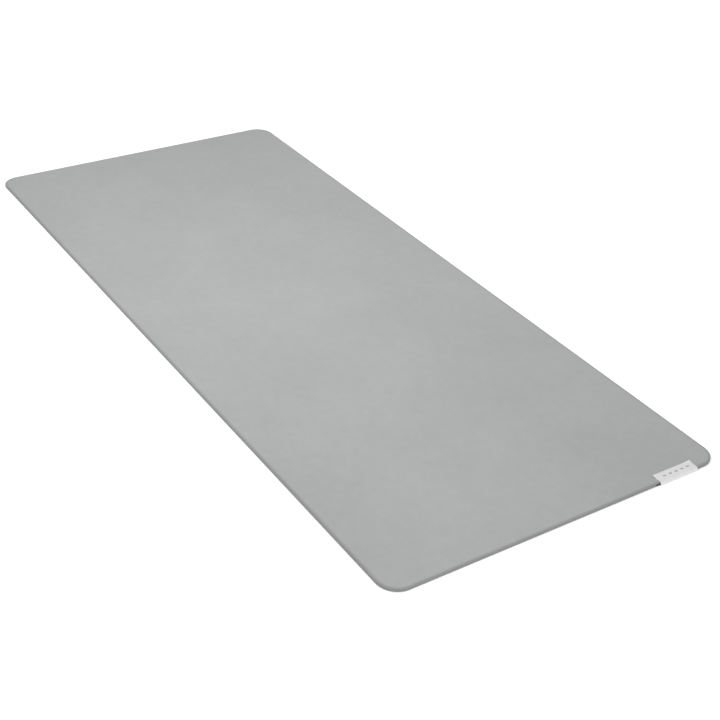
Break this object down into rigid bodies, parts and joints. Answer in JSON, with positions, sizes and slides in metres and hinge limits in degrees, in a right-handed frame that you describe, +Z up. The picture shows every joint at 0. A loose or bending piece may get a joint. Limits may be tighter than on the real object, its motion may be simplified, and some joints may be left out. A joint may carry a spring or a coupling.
{
  "type": "desk mat",
  "caption": "Extended desk mat: woven cloth bonded to rubber foam with an anti-slip underside, rounded corners and a folded ribbon label over one short edge.",
  "frame": {"origin": "centre of the mat's underside, on the desk top", "axes": "+X along the mat towards the short edge that carries the label, +Y across the mat towards the long edge nearest the label, +Z up"},
  "size_m": [0.9418, 0.41, 0.0037],
  "materials": {
    "woven_cloth": "matte",
    "adhesive_film": "satin",
    "rubber_foam": "matte",
    "grip_rubber": "matte",
    "label_ribbon": "satin",
    "label_print": "matte"
  },
  "bodies": {
    "root": {"top_cloth": "woven_cloth", "bond_film": "adhesive_film", "foam_core": "rubber_foam", "grip_skin": "grip_rubber", "edge_label": "label_ribbon"}
  },
  "joints": []
}
